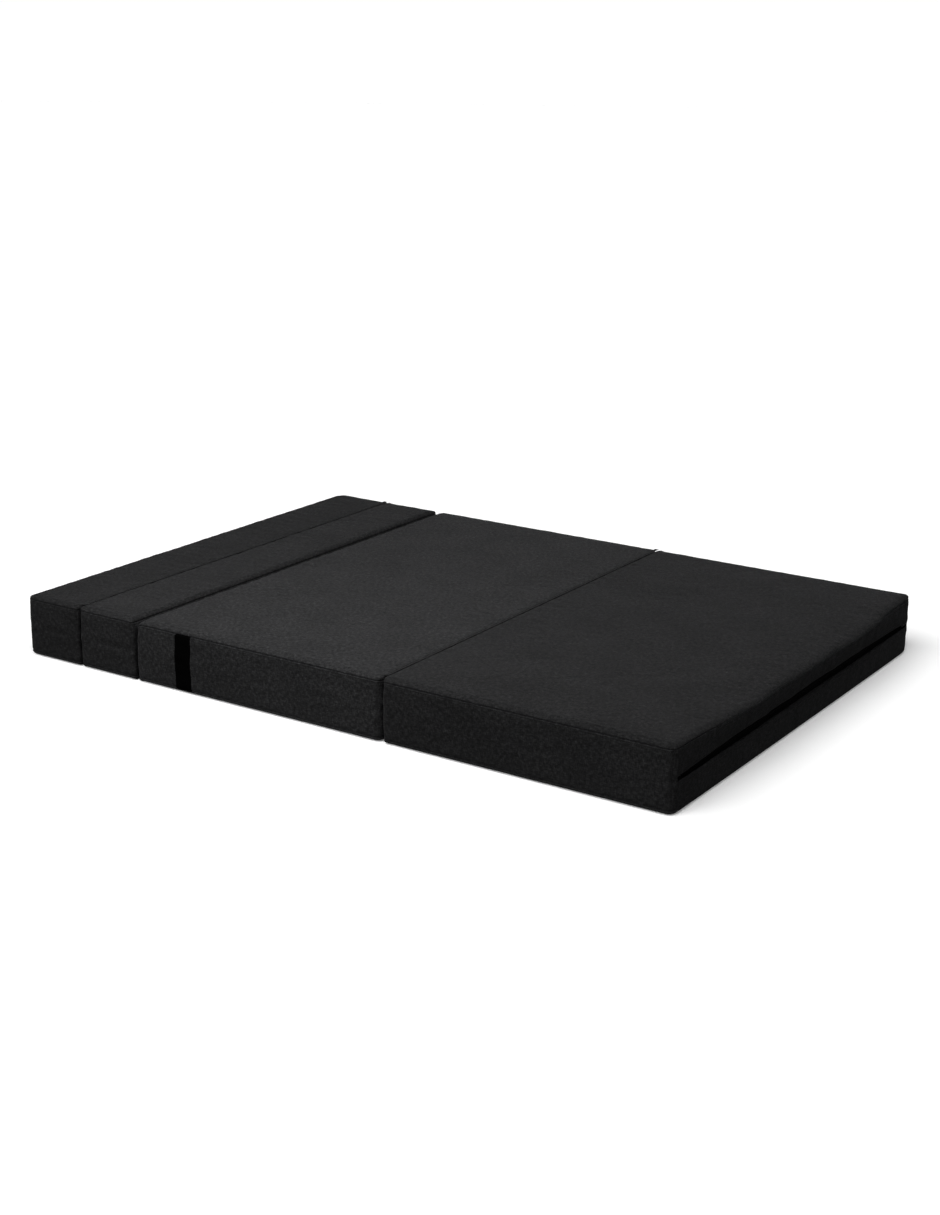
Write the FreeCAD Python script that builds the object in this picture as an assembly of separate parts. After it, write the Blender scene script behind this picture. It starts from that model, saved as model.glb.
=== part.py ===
import FreeCAD, Part
import math
import os

from FreeCAD import Vector

# Folding foam mattress: four box cushions in zip-off fabric covers, joined edge to edge by fabric
# hinges that fold alternately up and down. Laid out flat it is a double mattress; folded up it is a
# sofa, with the end cushion on the floor, the middle cushion as the seat and the two bolsters
# stacked along the rear of the seat as the backrest.
#
# Millimetres. The origin is the middle of the underside. +X runs along the mattress from the outer
# bolster to the end cushion, +Y from the front side to the back side, and +Z is up.

# Sections
bolster_length = 186.0          # each of the two narrow sections, along the mattress
cushion_length = 758.0          # each of the two wide sections, along the mattress
mattress_width = 1370.0
mattress_thickness = 165.0
section_gap = 4.0               # between the facing walls of neighbouring sections

# Covers
cover_wall = 2.0                # fabric with its backing and seam allowance
corner_radius = 18.0            # upright corners
top_edge_radius = 12.0
bottom_edge_radius = 8.0
hinge_edge_radius = 1.5         # an edge that carries a fabric hinge stays nearly square
least_radius = 0.5              # of an edge on the inside of a cover
foam_edge_relief = 1.5          # extra rounding that keeps the foam off the cover's inside edges
top_seam_margin = 2.0           # from the end of the top rounding down to the boxing seam
bottom_seam_margin = 2.0        # from the end of the bottom rounding up to the boxing seam
corner_seam_angle = 45.0        # place of a zip panel's end seams on the round of the corner

# Fabric hinges
hinge_strip_thickness = 1.2

# Webbing strap on the front side of the middle cushion
strap_width = 50.0
strap_thickness = 1.6
strap_from_edge = 132.0         # from the cushion's bolster end to the strap's near edge
strap_top_tuck = 1.0            # of the strap's end above the boxing seam

# Slot between the two zip panels, with its fabric edges turned in
slot_clearance = 1.0            # between the slider and each turned-in edge
slot_corner_margin = 2.0        # from the round of the section's corner to the end of the slot
lip_depth = 8.0                 # from the outer face to the turned-in edge
lip_thickness = 2.0
chain_recess_clearance = 1.8    # between the slider and the foam behind it

# Zip: tapes, coil chain, end stops
tape_width = 12.2               # each tape, beside the coil
tape_thickness = 0.8
tape_tail = 10.0                # past the end of the slot
coil_width = 5.6
coil_thickness = 2.6
stop_length = 3.0
stop_thickness = 3.4
stop_inset = 0.5                # from the end of the slot
stop_clearance = 0.5            # between a stop and the slider

# Slider
slider_length = 12.0
shoulder_length = 5.5
shoulder_flange = 1.7           # width of a side flange at the shoulders
tail_flange = 0.9               # and at the tail
slider_wall = 1.2
coil_clearance = 0.3            # between the coil and a slider plate
flange_clearance = 0.5          # between the coil's edge and the slider's side flanges
tape_clearance = 0.3
wedge_length = 4.0
wedge_from_shoulder = 0.5
wedge_width = 3.0
wedge_tip_width = 0.8
wedge_bite = 0.2                # of the wedge into each plate
chain_end_clearance = 0.5       # between the closed chain's end and the wedge
bridge_length = 8.4
bridge_width = 2.4
bridge_wall = 1.2

# Pull tab
pivot_radius = 0.75
pivot_clearance = 0.25          # between the tab's crossbar and the slider and bridge
arm_clearance = 0.3             # between the tab's arms and the bridge
arm_width = 1.8
window_clearance = 0.5          # between the tab and the bridge's corners as the tab swings
tab_length = 29.0               # from the pivot to the tip
tab_width = 7.0
tab_thickness = 1.2
tab_hole_length = 7.0
tab_hole_width = 2.6
tab_hole_from_tip = 2.8
tab_end_clearance = 1.0         # from the tip to the slot's end, with the zip fully open

# Worked out from the above
total_length = 2 * bolster_length + 2 * cushion_length + 3 * section_gap
top_seam_drop = top_edge_radius + top_seam_margin
bottom_seam_rise = bottom_edge_radius + bottom_seam_margin
shoulder_width = coil_width + 2 * (flange_clearance + shoulder_flange)
tail_width = coil_width + 2 * (flange_clearance + tail_flange)
slot_height = shoulder_width + 2 * slot_clearance
slot_end_margin = corner_radius + slot_corner_margin
bridge_window = 2 * (pivot_radius + pivot_clearance)
bridge_height = bridge_window + bridge_wall
chain_depth = lip_depth + tape_thickness / 2
slider_half_thickness = coil_thickness / 2 + coil_clearance + slider_wall
pivot_height = slider_half_thickness + pivot_radius + pivot_clearance
recess_depth = chain_depth + slider_half_thickness + chain_recess_clearance
corner_seam_inset = corner_radius * (1 - math.cos(math.radians(corner_seam_angle)))

ZIP_TURN = {"right": 0.0, "back": 90.0, "left": 180.0}


class Section:
    """One cushion: its box, which long face or back face the zip is in, and its hinged edges."""

    def __init__(self, name, start, length, zip_side, hinged):
        self.name = name
        self.x0 = start
        self.x1 = start + length
        self.y1 = mattress_width / 2
        self.zip_side = zip_side
        self.hinged = hinged

    def zip_face_centre(self):
        middle = (self.x0 + self.x1) / 2
        x, y = {
            "right": (self.x1, 0.0),
            "back": (middle, self.y1),
            "left": (self.x0, 0.0),
        }[self.zip_side]
        return Vector(x, y, mattress_thickness / 2)

    def zip_face_half(self):
        if self.zip_side == "back":
            return (self.x1 - self.x0) / 2
        return self.y1

    def slot_half(self):
        return self.zip_face_half() - slot_end_margin

    def slider_closed(self):
        """Place along the slot of the parked slider's middle, which is under the tab's pivot."""
        return self.slot_half() - stop_inset - stop_length - stop_clearance - slider_length / 2

    def slider_open(self):
        """Its place with the zip fully open, where the tab still lies flat inside the slot."""
        return -self.slot_half() + tab_end_clearance + tab_length

    def edge_radius(self, edge):
        if edge in self.hinged:
            return hinge_edge_radius
        return top_edge_radius if edge.endswith("top") else bottom_edge_radius


def make_sections():
    layout = [
        ("outer_bolster", bolster_length, "left", ["right_top"]),
        ("inner_bolster", bolster_length, "back", ["left_top", "right_bottom"]),
        ("middle_cushion", cushion_length, "back", ["left_bottom", "right_top"]),
        ("end_cushion", cushion_length, "right", ["left_top"]),
    ]
    made = []
    start = -total_length / 2
    for name, length, zip_side, hinged in layout:
        made.append(Section(name, start, length, zip_side, hinged))
        start += length + section_gap
    return made


# Shapes

def box(x0, x1, y0, y1, z0, z1):
    return Part.makeBox(x1 - x0, y1 - y0, z1 - z0, Vector(x0, y0, z0))


def rounded_face(corners, radii, place):
    """A face with straight sides between square corners, each rounded by its own radius."""
    edges = []
    ends = []
    count = len(corners)
    for i, (corner, radius) in enumerate(zip(corners, radii)):
        here = Vector(corner[0], corner[1], 0)
        before = Vector(*corners[i - 1], 0) - here
        after = Vector(*corners[(i + 1) % count], 0) - here
        before.normalize()
        after.normalize()
        start = here + before * radius
        stop = here + after * radius
        middle = here + (before + after) * radius * (1 - math.sqrt(0.5))
        edges.append(Part.Arc(place(start), place(middle), place(stop)).toShape())
        ends.append((start, stop))
    for i in range(count):
        stop = ends[i][1]
        start = ends[(i + 1) % count][0]
        edges.append(Part.LineSegment(place(stop), place(start)).toShape())
    return Part.Face(Part.Wire(Part.__sortEdges__(edges)))


def rectangle(u0, u1, v0, v1):
    return [(u0, v0), (u1, v0), (u1, v1), (u0, v1)]


def section_block(section, inset=0.0, relief=0.0):
    """The section's outline drawn in by inset: three rounded prisms, one along each axis, in common."""
    def radius(value):
        return max(value - inset, least_radius) + relief

    x0 = section.x0 + inset
    x1 = section.x1 - inset
    y1 = section.y1 - inset
    z0 = inset
    z1 = mattress_thickness - inset
    order = ["left_bottom", "right_bottom", "right_top", "left_top"]
    side_radii = [radius(section.edge_radius(edge)) for edge in order]
    end_radii = [radius(bottom_edge_radius)] * 2 + [radius(top_edge_radius)] * 2
    along_y = rounded_face(rectangle(x0, x1, z0, z1), side_radii, lambda p: Vector(p.x, -y1, p.y))
    along_x = rounded_face(rectangle(-y1, y1, z0, z1), end_radii, lambda p: Vector(x0, p.x, p.y))
    upright = rounded_face(
        rectangle(x0, x1, -y1, y1), [radius(corner_radius)] * 4, lambda p: Vector(p.x, p.y, z0)
    )
    solid = along_y.extrude(Vector(0, 2 * y1, 0))
    solid = solid.common(along_x.extrude(Vector(x1 - x0, 0, 0)))
    return solid.common(upright.extrude(Vector(0, 0, z1 - z0)))


def at_zip_face(shape, section):
    """Moves a shape drawn with +X out of the zip face and +Y along the slot to its real place."""
    moved = shape.copy()
    moved.rotate(Vector(0, 0, 0), Vector(0, 0, 1), ZIP_TURN[section.zip_side])
    moved.translate(section.zip_face_centre())
    return moved


# Covers and foam

def foam_core(section):
    core = section_block(section, cover_wall, foam_edge_relief)
    half_height = coil_width / 2 + tape_width + chain_recess_clearance
    half_length = section.slot_half() + tape_tail + chain_recess_clearance
    recess = box(-recess_depth, 0, -half_length, half_length, -half_height, half_height)
    return core.cut(at_zip_face(recess, section))


def cover_panels(section):
    """The five fabric panels that a cover is sewn from."""
    shell = section_block(section).cut(section_block(section, cover_wall))
    seam_low = bottom_seam_rise
    seam_high = mattress_thickness - top_seam_drop
    x0 = section.x0 - 1
    x1 = section.x1 + 1
    y1 = section.y1 + 1
    top_panel = shell.common(box(x0, x1, -y1, y1, seam_high, mattress_thickness + 1))
    bottom_panel = shell.common(box(x0, x1, -y1, y1, -1, seam_low))
    boxing = shell.common(box(x0, x1, -y1, y1, seam_low, seam_high))

    face_half = section.zip_face_half() + 1
    middle = mattress_thickness / 2
    upper_zone = box(-corner_seam_inset, 1, -face_half, face_half, 0, seam_high - middle)
    lower_zone = box(-corner_seam_inset, 1, -face_half, face_half, seam_low - middle, 0)
    side_band = boxing.cut(at_zip_face(upper_zone, section))
    side_band = side_band.cut(at_zip_face(lower_zone, section))

    half = section.slot_half()
    slot = box(-lip_depth - 1, 1, -half, half, -slot_height / 2, slot_height / 2)
    lip_outer = slot_height / 2 + lip_thickness
    upper_lip = box(-lip_depth, 0, -half, half, slot_height / 2, lip_outer)
    lower_lip = box(-lip_depth, 0, -half, half, -lip_outer, -slot_height / 2)
    zip_panels = []
    for zone, lip in ((upper_zone, upper_lip), (lower_zone, lower_lip)):
        panel = boxing.common(at_zip_face(zone, section))
        panel = panel.cut(at_zip_face(slot, section))
        panel = panel.fuse(at_zip_face(lip, section)).removeSplitter()
        zip_panels.append(panel)
    return {
        "top_panel": top_panel,
        "bottom_panel": bottom_panel,
        "side_band": side_band,
        "zip_panel_upper": zip_panels[0],
        "zip_panel_lower": zip_panels[1],
    }


# Zips, drawn with +X out of the face, +Y along the slot and the chain's axis at x = -chain_depth

def zip_tapes(half):
    reach = half + tape_tail
    inner = coil_width / 2
    outer = inner + tape_width
    back = -chain_depth - tape_thickness / 2
    front = -chain_depth + tape_thickness / 2
    upper = box(back, front, -reach, reach, inner, outer)
    lower = box(back, front, -reach, reach, -outer, -inner)
    return Part.makeCompound([upper, lower])


def zip_coil(slider_open, slider_closed):
    """The closed chain, from the stop at the open end to just short of the parked slider's wedge."""
    wedge_tip = slider_closed + slider_length / 2 - wedge_from_shoulder - wedge_length
    start = slider_open - slider_length / 2 - stop_clearance
    stop = wedge_tip - chain_end_clearance
    w = coil_width / 2
    t = coil_thickness / 2
    outline = rounded_face(
        rectangle(-t, t, -w, w), [t / 2] * 4, lambda p: Vector(p.x - chain_depth, start, p.y)
    )
    return outline.extrude(Vector(0, stop - start, 0))


def zip_stops(slider_open, slider_closed):
    """A block at each end of the slider's travel, between the tapes."""
    w = coil_width / 2
    t = stop_thickness / 2
    reach = slider_length / 2 + stop_clearance
    stops = []
    for start in (slider_closed + reach, slider_open - reach - stop_length):
        stops.append(box(-chain_depth - t, -chain_depth + t, start, start + stop_length, -w, w))
    rounding = min(0.8, stop_length / 4)
    return Part.makeCompound([
        s.makeFillet(rounding, [e for e in s.Edges if abs(e.tangentAt(0).z) > 0.9]) for s in stops
    ])


def slider_outline(x0, x1):
    """A prism with the slider's plan: broad shoulders towards +Y and a narrower tail."""
    end = slider_length / 2
    s = shoulder_width / 2
    t = tail_width / 2
    neck = end - shoulder_length
    plan = [(-end, -t), (neck, -s), (end, -s), (end, s), (neck, s), (-end, t)]
    points = [Vector(x0, y, z) for y, z in plan]
    prism = Part.Face(Part.makePolygon(points + points[:1])).extrude(Vector(x1 - x0, 0, 0))
    upright = [e for e in prism.Edges if abs(e.tangentAt(e.FirstParameter).x) > 0.9]
    return prism.makeFillet(0.8, upright)


def zip_slider():
    """Two plates joined by the wedge that parts the chain, with a bridge for the pull tab."""
    end = slider_length / 2 + 1
    edge = shoulder_width / 2 + 1
    plate_inner = coil_thickness / 2 + coil_clearance
    plate_outer = slider_half_thickness
    flange_inner = coil_width / 2 + flange_clearance
    tape_gap = tape_thickness / 2 + tape_clearance
    body = slider_outline(-plate_outer, plate_outer)
    body = body.cut(box(-plate_inner, plate_inner, -end, end, -flange_inner, flange_inner))
    body = body.cut(box(-tape_gap, tape_gap, -end, end, -edge, edge))

    front = slider_length / 2 - wedge_from_shoulder
    tip = front - wedge_length
    depth = plate_inner + wedge_bite
    plan = [
        (tip, -wedge_tip_width / 2),
        (front, -wedge_width / 2),
        (front, wedge_width / 2),
        (tip, wedge_tip_width / 2),
    ]
    points = [Vector(-depth, y, z) for y, z in plan]
    wedge = Part.Face(Part.makePolygon(points + points[:1])).extrude(Vector(2 * depth, 0, 0))

    half = bridge_length / 2
    side = bridge_width / 2
    top = plate_outer + bridge_height
    bridge = box(plate_outer - slider_wall / 2, top, -half, half, -side, side)
    crown = [
        e for e in bridge.Edges
        if abs(e.tangentAt(0).z) > 0.9 and e.CenterOfMass.x > top - 0.1
    ]
    bridge = bridge.makeFillet(bridge_wall * 0.9, crown)
    window_top = plate_outer + bridge_window
    leg = half - bridge_wall
    bridge = bridge.cut(box(plate_outer, window_top, -leg, leg, -side - 1, side + 1))
    return body.fuse(wedge).fuse(bridge).removeSplitter()


def zip_pull():
    """The pull tab, lying along the chain: a crossbar under the bridge, two arms and a tongue."""
    x = pivot_height
    t = tab_thickness / 2
    arm_inner = bridge_width / 2 + arm_clearance
    arm_outer = arm_inner + arm_width
    corner_reach = math.hypot(bridge_length / 2, slider_half_thickness + bridge_height - x)
    window_end = corner_reach + window_clearance
    bar = Part.makeCylinder(pivot_radius, 2 * arm_outer, Vector(x, 0, -arm_outer), Vector(0, 0, 1))
    pull = bar
    for z0, z1 in ((arm_inner, arm_outer), (-arm_outer, -arm_inner)):
        pull = pull.fuse(box(x - t, x + t, -window_end - 1, 0, z0, z1))
    tip = tab_width / 2 - 0.1
    tongue = rounded_face(
        rectangle(-tab_length, -window_end, -tab_width / 2, tab_width / 2),
        [tip, 0.8, 0.8, tip],
        lambda p: Vector(x - t, p.x, p.y),
    ).extrude(Vector(tab_thickness, 0, 0))
    hole_start = -tab_length + tab_hole_from_tip
    hole_radius = tab_hole_width / 2 - 0.1
    hole = rounded_face(
        rectangle(hole_start, hole_start + tab_hole_length, -tab_hole_width / 2, tab_hole_width / 2),
        [hole_radius] * 4,
        lambda p: Vector(x - t - 1, p.x, p.y),
    ).extrude(Vector(tab_thickness + 2, 0, 0))
    return pull.fuse(tongue).cut(hole).removeSplitter()


def zip_pieces(section):
    travel = section.slider_open(), section.slider_closed()
    on_chain = Vector(-chain_depth, section.slider_closed(), 0)
    slider = zip_slider()
    slider.translate(on_chain)
    pull = zip_pull()
    pull.translate(on_chain)
    drawn = {
        "zip_tapes": zip_tapes(section.slot_half()),
        "zip_coil": zip_coil(*travel),
        "zip_stops": zip_stops(*travel),
        "zip_slider": slider,
        "zip_pull": pull,
    }
    return {name: at_zip_face(shape, section) for name, shape in drawn.items()}


# Hinges and strap

def hinge_strip(left, at_top):
    """Fabric across the gap to the right of a section, flush with both hinged edges."""
    reach = mattress_width / 2 - corner_radius
    if at_top:
        z1 = mattress_thickness - hinge_edge_radius
        z0 = z1 - hinge_strip_thickness
    else:
        z0 = hinge_edge_radius
        z1 = z0 + hinge_strip_thickness
    return box(left.x1, left.x1 + section_gap, -reach, reach, z0, z1)


def side_strap(section):
    """Flat webbing sewn on from the bottom edge to the boxing seam."""
    x0 = section.x0 + strap_from_edge
    z1 = mattress_thickness - top_seam_drop + strap_top_tuck
    front = -section.y1
    return box(x0, x0 + strap_width, front - strap_thickness, front, bottom_edge_radius, z1)


def build():
    sections = make_sections()
    nodes = {}
    for section in sections:
        nodes[section.name + "_foam"] = foam_core(section)
        for piece, shape in cover_panels(section).items():
            nodes[section.name + "_" + piece] = shape
        for piece, shape in zip_pieces(section).items():
            nodes[section.name + "_" + piece] = shape
    outer, inner, middle, _ = sections
    nodes["bolster_hinge_strip"] = hinge_strip(outer, at_top=True)
    nodes["backrest_hinge_strip"] = hinge_strip(inner, at_top=False)
    nodes["seat_hinge_strip"] = hinge_strip(middle, at_top=True)
    nodes["side_strap"] = side_strap(middle)
    return nodes


def main():
    os.makedirs("parts", exist_ok=True)
    for name, shape in build().items():
        if not shape.isValid() or not shape.Solids:
            raise RuntimeError(name + " isn't a valid solid")
        print(f"{name}: {len(shape.Solids)} solid(s), {shape.Volume / 1000:.2f} cm3")
        shape.exportStep("parts/" + name + ".step")


main()
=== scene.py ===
import math

import bmesh
import bpy
import numpy as np
from mathutils import Matrix, Vector
from mathutils.bvhtree import BVHTree


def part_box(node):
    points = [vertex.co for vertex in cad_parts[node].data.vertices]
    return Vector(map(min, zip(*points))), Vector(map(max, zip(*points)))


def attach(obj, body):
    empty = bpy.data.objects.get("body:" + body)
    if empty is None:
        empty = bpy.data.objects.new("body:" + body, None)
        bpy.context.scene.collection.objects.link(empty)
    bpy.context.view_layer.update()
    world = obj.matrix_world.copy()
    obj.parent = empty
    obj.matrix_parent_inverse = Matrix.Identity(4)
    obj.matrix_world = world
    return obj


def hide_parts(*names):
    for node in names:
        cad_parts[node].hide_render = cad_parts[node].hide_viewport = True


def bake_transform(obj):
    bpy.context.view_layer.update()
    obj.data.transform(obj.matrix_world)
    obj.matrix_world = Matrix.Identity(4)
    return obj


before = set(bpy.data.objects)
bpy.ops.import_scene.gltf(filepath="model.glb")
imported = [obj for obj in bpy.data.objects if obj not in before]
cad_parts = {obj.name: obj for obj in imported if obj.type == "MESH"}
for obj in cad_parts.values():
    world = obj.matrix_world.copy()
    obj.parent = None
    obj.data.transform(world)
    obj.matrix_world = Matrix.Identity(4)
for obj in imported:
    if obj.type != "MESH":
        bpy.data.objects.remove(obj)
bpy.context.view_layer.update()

# Looks for the folding mattress: four box cushions in heathered black fabric, with seams, zips,
# stitching, a webbing strap and fabric hinges between them. Metres, in the CAD model's frame.

MM = 0.001
COVERED = "foam", "top_panel", "bottom_panel", "side_band", "zip_panel_upper", "zip_panel_lower"

# Cushion shape
MESH_STEP = 14 * MM  # between the cage's lines, before it is subdivided
CLOTH_STEP = 17 * MM  # between the simulated cloth's lines
EDGE_ANGLES = np.radians([11.25, 22.5, 33.75, 45.0])
FRONT_ROUND = 20 * MM  # upright corners, across the width
BACK_ROUND = 52 * MM
TOP_ROUND = 12 * MM
BOTTOM_ROUND = 8 * MM
SOFT_EDGE = 2.0  # power of an edge's round: 2 is an ellipse
TIGHT_EDGE = 3.4  # and these are nearly square
HINGED_EDGE = 5.0
TOP_DROP = 2.6 * MM  # of the top's edges below its crown
CROWN_REACH = 170 * MM  # from an edge to where the top is level
CROWN_SHARE = 0.8  # of the height between the edges and the highest level allowed
CROWN_POWER = 0.6  # below 1, the crown rises fast from the edges and is flat further in
FOLD_LEVEL = 0.2 * MM  # that the crown may stand above the CAD top

# Seams
GROOVE_DEPTH = 3.4 * MM
GROOVE_HALF = 1.8 * MM
BOTTOM_GROOVE = 0.7  # the bottom seam's share of that depth
TOPSTITCH_DROP = 5.5 * MM  # below the boxing seam
TOPSTITCH_HALF = 1.2 * MM
TOPSTITCH_DEPTH = 0.9 * MM

# Zip slot: lips at the surface, a wider channel for the slider behind them
SLOT_HALF_ENDS = 4.4 * MM
SLOT_HALF_MIDDLE = 12.0 * MM
SLOT_FULLNESS = 0.8  # power of the sine that it widens by towards its middle
SLOT_UNEVEN = 0.08  # share of its width that comes and goes along it
SLOT_UNEVEN_LENGTHS = 0.09, 0.4
CHANNEL_HALF = 14.0 * MM
CHANNEL_DEPTH = 12.6 * MM
SLOT_TAPER = 3.0 * MM
SLOT_SWAY = 1.1 * MM
SLOT_SWAY_LENGTHS = 0.15, 0.6
TAPE_TAIL = 6 * MM  # of a zip's tapes past each end of the slot between the lips
LIP = 7.6 * MM  # height of a lip's edge in the lattice
# Lines on each lip, from the slot's middle outwards: height in the lattice, height past the lip's
# edge once sewn, and depth as a share of the channel's. None is the channel's own wall.
SLOT_PROFILE = (
    (5.6 * MM, None, 1.0),
    (6.4 * MM, None, 0.30),
    (7.0 * MM, 1.4 * MM, 0.20),
    (7.6 * MM, 0.0, 0.11),
    (8.3 * MM, 0.5 * MM, 0.03),
    (9.4 * MM, 2.0 * MM, 0.0),
    (11.5 * MM, 3.8 * MM, 0.0),
)
CHANNEL_LINE = 7.0 * MM  # height in the lattice up to which the cover takes the zip tapes' near-black material: the channel, and the lips' turned-in edges as painted shade
SLOT_SURROUND = 19.0 * MM  # height in the lattice where the panel is as it was
SWAY_REACH = 4 * SLOT_SURROUND
CORNER_SEAM_DEPTH = 2.2 * MM

# Zip panels: the upper one hangs out over the slot, and the lower one is drawn in at its lip
UPPER_BULGE = 7.5 * MM
UPPER_PEAK = 1.15
UPPER_FALL = 1.3  # power that the bulge fades with towards the boxing seam
UPPER_START = 0.14  # share of the panel's height over which the bulge starts
UPPER_TUCK = 0.75  # share of the bulge that the upper lip is drawn in by
TUCK_FADE = 0.16  # share of the panel's height over which that ends
LOWER_BULGE = 1.6 * MM
LOWER_SLOPE = 2.2
LOWER_TUCK = 1.2  # share of the bulge that the lower lip is drawn in by
BULGE_UNEVEN = 0.3
BULGE_LENGTHS = 0.07, 0.3
SPILL_REACH = 90 * MM  # from the top's edge to where it no longer spills over the zip
SPILL_RAMP = 0.3  # share of the slot's length over which the spill grows from each end
SPILL_DROP = 0.3  # how far the edge sinks for each metre that it spills
SPILL_UNEVEN = 0.25
SPILL_LENGTHS = 0.2, 0.7

# Waves and puckers: their heights, and the shortest and longest wave of each
TOP_WAVES = 0.5 * MM
TOP_WAVE_LENGTHS = 0.07, 0.45
SIDE_WAVES = 0.7 * MM
SIDE_WAVE_LENGTHS = 0.05, 0.32
SIDE_BELLY = 1.4 * MM
PUCKERS = 0.25 * MM
ZIP_PUCKERS = 1.0 * MM
PUCKER_LENGTHS = 0.017, 0.055
PUCKER_REACH = 30 * MM
TOP_PUCKERS = 0.35  # share of a pucker that shows above the boxing seam
BOTTOM_PUCKERS = 0.5 * PUCKERS
BOTTOM_PUCKER_LENGTHS = 0.02, 0.07

# Joints
SHOULDER = 10 * MM  # that the top's edge slopes down by on the +X side of a gaping joint
SHOULDER_REACH = 30 * MM
GAPE = 7.5 * MM  # that a wall over an underside hinge leans back at its top
GAPE_REACH = 60 * MM  # from the joint to where the cover no longer leans
GAPE_POWER = 7  # the lean starts near the top
JOINT_SWELL = 0.6 * MM  # that a cover may stand into the gap to its neighbour

# Sewing thread, strap, hinges and zip chain
STITCH_PITCH = 4.6 * MM
STITCH_LENGTH = 3.4 * MM
THREAD_RADIUS = 0.32 * MM
STITCH_SIDES = 5
# Rings of a stitch: place as a share of half its length, size and height as shares of its radius
STITCH_RINGS = (
    (-1, 0.25, -0.6), (-0.8, 0.8, -0.1), (0, 1.0, 0.35), (0.8, 0.8, -0.1), (1, 0.25, -0.6)
)
SLOT_STITCH_RUN = 4 * MM  # of the slot's topstitching past its ends
STRAP_THICKNESS = 1.6 * MM
STRAP_CORNER = 8 * MM
STRAP_CORNER_DROP = 0.6 * STRAP_CORNER
STRAP_ROWS, STRAP_COLUMNS = 73, 25
STRAP_SNAKE = 0.006  # share of its width that the strap wanders sideways by
STRAP_EDGE = 1.2 * MM  # how far in from its edges the webbing thins
STRAP_TUCK = 4 * MM  # at each end, where it is drawn in under the seam
STRAP_TUCK_DEPTH = 1.2 * MM
STRAP_WAVE = 0.35 * MM
HINGE_SAG = 1.6 * MM
HINGE_TUCK = 4 * MM  # sewn under the cushion on each side
HINGE_ROWS, HINGE_COLUMNS = 241, 15
HINGE_SEED = 71
HINGE_WAVE = 0.25 * MM
HINGE_WAVE_LENGTHS = 0.05, 0.2
COIL_PITCH = 1.25 * MM
COIL_SIDES = 6
COIL_FILL = 0.42  # a loop's half thickness as a share of the pitch
COIL_RINGS = (-0.45, 0.6), (0.3, 1.0), (1.0, 0.8)  # of a loop: reach across the chain, and size

# Cloth simulation
CLOTH_FRAMES = 20
CLOTH_PRESSURE = 3.0
CLOTH_SLACK = 0.012
CLOTH_CAP = 2.5 * MM
FOAM_HOLD = 0.45

# Fabric: each cover's greys against the plain black heather, scaled as painted light: the middle
# cushion is drawn lighter as a painted highlight and the others darker as painted shade, for light
# falling unevenly on one cloth
PAINTED_LIGHT = {
    "outer_bolster": 0.74,
    "inner_bolster": 0.88,
    "middle_cushion": 1.08,
    "end_cushion": 0.78,
}
FABRIC_GREYS = (0.38, 0.0052), (0.47, 0.0098), (0.55, 0.0186), (0.65, 0.0335)
YARN_WEIGHT = 0.30
FLECK_WEIGHT = 0.34
CLOUD_WEIGHT = 0.06
WEAVE_PITCH = 1.15 * MM, 1.25 * MM
RIB_PITCH = 2.3 * MM  # of the strap's webbing
CHEVRON_PITCH = 1.1 * MM

# Camera
CAMERA_PLACE = (2.653, -4.108, 1.641)
CAMERA_ANGLES = (32.98, 17.24, 0.70)  # degrees to the left of +Y, down, and rolled
CAMERA_SENSOR = 36
CAMERA_LENS = 57.43

# Light: the world is bright overhead and dark below, and dims from -X to +X
CEILING = (-0.1, 0.25, 0.10, 0.30)
ACROSS = (-1.0, 1.0, 1.0, 0.62)
KEY_DIRECTION = (-0.2, -0.95, 1.0)
KEY_STRENGTH = 2.7
SOFTBOX_PLACE = (-0.2, -0.7, 1.2)
SOFTBOX_SIZE = 0.9
SOFTBOX_POWER = 11
FILL_DIRECTION = (-0.5, 1.0, 0.05)
FILL_STRENGTH = 0.4
FILL_ANGLE = math.radians(12)
SIDE_DIRECTION = (1.0, -0.3, 1.15)
SIDE_STRENGTH = 0.55
SUN_ANGLE = math.radians(50)
FLOOR_GLOW = 0.15
FLOOR_DROP = 0.2 * MM  # of the floor below the mattress
BACKDROP_RADIUS = 30


# Small helpers

def smoothstep(x):
    x = np.clip(x, 0, 1)
    return x * x * (3 - 2 * x)


def ripple(seed, shortest, longest, waves=9):
    """A smooth random function of one length, about -1 to 1, made of sine waves."""
    rng = np.random.default_rng(seed)
    lengths = np.geomspace(shortest, longest, waves) * rng.uniform(0.85, 1.15, waves)
    phases = rng.uniform(0, 2 * math.pi, waves)
    weights = rng.uniform(0.6, 1.0, waves) * (lengths / longest) ** 0.3
    weights /= np.sqrt((weights**2).sum() / 2) * 1.6

    def value(s):
        s = np.asarray(s)[..., None]
        return (weights * np.sin(2 * math.pi * s / lengths + phases)).sum(-1)

    return value


def dapple(seed, shortest, longest, waves=24):
    """A smooth random function of two lengths, about -1 to 1, made of waves in all directions."""
    rng = np.random.default_rng(seed)
    lengths = np.geomspace(shortest, longest, waves)
    turns = rng.uniform(0, math.pi, waves)
    phases = rng.uniform(0, 2 * math.pi, waves)
    weights = (lengths / longest) ** 0.6
    weights /= np.sqrt((weights**2).sum() / 2) * 1.8

    def value(u, v):
        along = np.asarray(u)[..., None] * np.cos(turns) + np.asarray(v)[..., None] * np.sin(turns)
        return (weights * np.sin(2 * math.pi * along / lengths + phases)).sum(-1)

    return value


def link(obj):
    bpy.context.scene.collection.objects.link(obj)
    return obj


def shade_smooth(mesh):
    mesh.polygons.foreach_set("use_smooth", np.ones(len(mesh.polygons), bool))


def mesh_points(mesh):
    co = np.empty(len(mesh.vertices) * 3)
    mesh.vertices.foreach_get("co", co)
    return co.reshape(-1, 3)


def new_material(name):
    material = bpy.data.materials.new(name)
    material.use_nodes = True
    return material


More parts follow.
